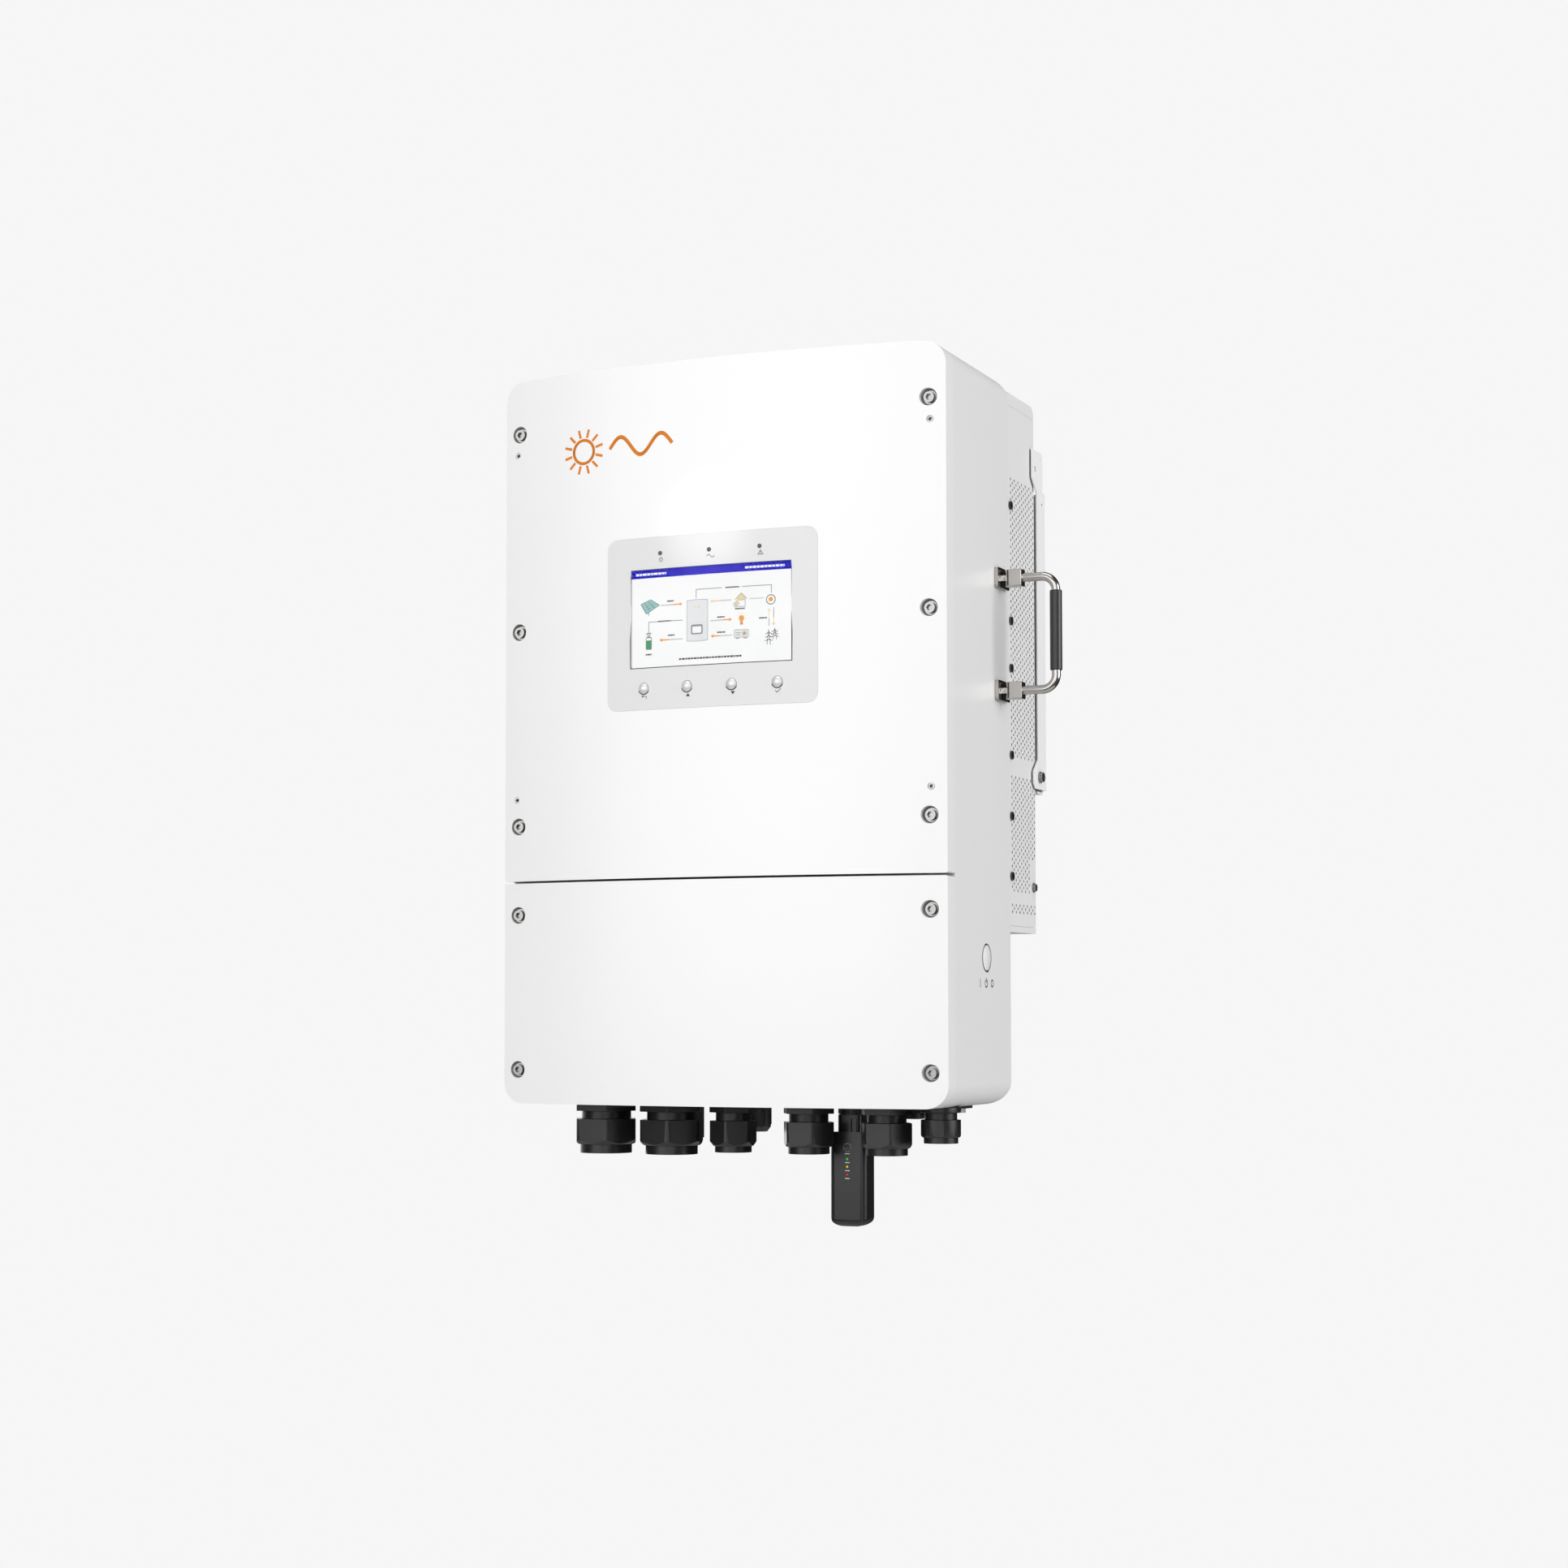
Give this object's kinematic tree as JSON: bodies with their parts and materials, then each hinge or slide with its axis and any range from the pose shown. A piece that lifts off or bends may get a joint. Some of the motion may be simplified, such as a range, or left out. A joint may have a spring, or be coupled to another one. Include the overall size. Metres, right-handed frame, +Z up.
{
  "type": "string inverter",
  "caption": "Wall-hung string inverter with bowed two-part front cover, colour display, finned and fan-cooled back, folding side handles and cable glands below.",
  "frame": {"origin": "centre of the wall bracket's four bolt holes, on the wall plane", "axes": "+X to the unit's right seen from the front, +Y into the wall (the front faces -Y), +Z up"},
  "size_m": [0.5464, 0.3013, 0.7721],
  "materials": {
    "housing_paint": "semi-gloss white powder coat",
    "cover_paint": "semi-gloss white powder coat",
    "gasket_rubber": "black foam rubber",
    "cover_screw_steel": "stainless",
    "display_overlay": "light grey printed overlay",
    "display_glass": "clear window",
    "lcd": "lit colour screen",
    "circuit_board": "green solder mask",
    "lens_grey": "smoked light pipe",
    "key_metal": "satin",
    "power_button_plastic": "white",
    "black_plastic": "black",
    "switch_red": "red",
    "heat_sink_aluminium": "cast",
    "sheet_paint": "white powder coat",
    "dark_screw_steel": "dark zinc",
    "zinc_screw_steel": "zinc",
    "fan_plastic": "black",
    "galvanised_steel": "galvanised",
    "bracket_paint": "white powder coat",
    "handle_steel": "polished steel",
    "handle_screw_steel": "polished steel",
    "grip_rubber": "dark grey rubber",
    "gland_nylon": "black nylon",
    "connector_plastic": "black",
    "terminal_steel": "dark zinc",
    "stick_plastic": "black satin",
    "stick_lights": "small lights",
    "module_plastic": "black",
    "capacitor_sleeve": "dark blue sleeve",
    "choke_potting": "dark grey potting",
    "control_board": "blue solder mask",
    "terminal_plastic": "grey green"
  },
  "bodies": {
    "unit": {"main_housing": "housing_paint", "upper_cover": "cover_paint", "lower_cover": "cover_paint", "upper_cover_gasket": "gasket_rubber", "lower_cover_gasket": "gasket_rubber", "upper_cover_screws": "cover_screw_steel", "lower_cover_screws": "cover_screw_steel", "cover_jack_screws": "cover_screw_steel", "display_panel": "display_overlay", "display_window": "display_glass", "lcd_module": "lcd", "hmi_board": "circuit_board", "indicator_lenses": "lens_grey", "power_button_body": "black_plastic", "dc_switch_body": "black_plastic", "heat_sink": "heat_sink_aluminium", "grille_right": "sheet_paint", "grille_left": "sheet_paint", "shroud_shell": "sheet_paint", "grille_screws": "dark_screw_steel", "shroud_rear_screws": "zinc_screw_steel", "fan_frames": "black_plastic", "hanger_bracket": "galvanised_steel", "wall_bracket": "bracket_paint", "bracket_lock_screws": "zinc_screw_steel", "handle_bases": "handle_steel", "handle_base_screws": "handle_screw_steel", "gland_bodies": "gland_nylon", "gland_nuts": "gland_nylon", "gland_seals": "gasket_rubber", "gland_locknuts": "gland_nylon", "pv_connectors": "connector_plastic", "com_port_cap": "connector_plastic", "com_port_cover": "connector_plastic", "earth_terminal": "terminal_steel", "stick_body": "stick_plastic", "stick_connector": "connector_plastic", "stick_indicators": "stick_lights", "power_board": "circuit_board", "power_modules": "module_plastic", "dc_link_capacitors": "capacitor_sleeve", "boost_chokes": "choke_potting", "control_board": "control_board", "terminal_blocks": "terminal_plastic"},
    "back_key": {"button_back": "key_metal"},
    "up_key": {"button_up": "key_metal"},
    "down_key": {"button_down": "key_metal"},
    "enter_key": {"button_enter": "key_metal"},
    "power_key": {"power_button": "power_button_plastic"},
    "isolator_knob": {"dc_switch_knob": "switch_red"},
    "low_rotor": {"fan_rotor_low": "fan_plastic"},
    "mid_rotor": {"fan_rotor_mid": "fan_plastic"},
    "high_rotor": {"fan_rotor_high": "fan_plastic"},
    "right_handle": {"right_handle_bar": "handle_steel", "right_handle_grip": "grip_rubber", "right_handle_pins": "handle_screw_steel"},
    "left_handle": {"left_handle_bar": "handle_steel", "left_handle_grip": "grip_rubber", "left_handle_pins": "handle_screw_steel"},
    "stick_key": {"stick_button": "stick_plastic"}
  },
  "joints": [
    {"name": "back_key_press", "type": "slide", "parent": "unit", "child": "back_key", "axis": [0, 1, 0], "range_m": [0, 0.001], "stiffness_N_per_m": 600},
    {"name": "up_key_press", "type": "slide", "parent": "unit", "child": "up_key", "axis": [0, 1, 0], "range_m": [0, 0.001], "stiffness_N_per_m": 600},
    {"name": "down_key_press", "type": "slide", "parent": "unit", "child": "down_key", "axis": [0, 1, 0], "range_m": [0, 0.001], "stiffness_N_per_m": 600},
    {"name": "enter_key_press", "type": "slide", "parent": "unit", "child": "enter_key", "axis": [0, 1, 0], "range_m": [0, 0.001], "stiffness_N_per_m": 600},
    {"name": "power_key_press", "type": "slide", "parent": "unit", "child": "power_key", "axis": [-1, 0, 0], "range_m": [0, 0.003], "stiffness_N_per_m": 500},
    {"name": "stick_key_press", "type": "slide", "parent": "unit", "child": "stick_key", "axis": [0, 1, 0], "range_m": [0, 0.0005], "stiffness_N_per_m": 800},
    {"name": "isolator_turn", "type": "hinge", "parent": "unit", "child": "isolator_knob", "pos_m": [-0.224, -0.178, -0.321], "axis": [-1, 0, 0], "range_deg": [0, 90]},
    {"name": "low_fan_spin", "type": "hinge", "parent": "unit", "child": "low_rotor", "pos_m": [-0.19, -0.067, -0.205], "axis": [1, 0, 0], "continuous": true},
    {"name": "mid_fan_spin", "type": "hinge", "parent": "unit", "child": "mid_rotor", "pos_m": [-0.19, -0.067, -0.067], "axis": [1, 0, 0], "continuous": true},
    {"name": "high_fan_spin", "type": "hinge", "parent": "unit", "child": "high_rotor", "pos_m": [-0.19, -0.067, 0.053], "axis": [1, 0, 0], "continuous": true},
    {"name": "right_handle_fold", "type": "hinge", "parent": "unit", "child": "right_handle", "pos_m": [0.226, -0.135, -0.0283], "axis": [0, 0, 1], "range_deg": [0, 90]},
    {"name": "left_handle_fold", "type": "hinge", "parent": "unit", "child": "left_handle", "pos_m": [-0.226, -0.135, -0.0283], "axis": [0, 0, -1], "range_deg": [0, 90]}
  ]
}
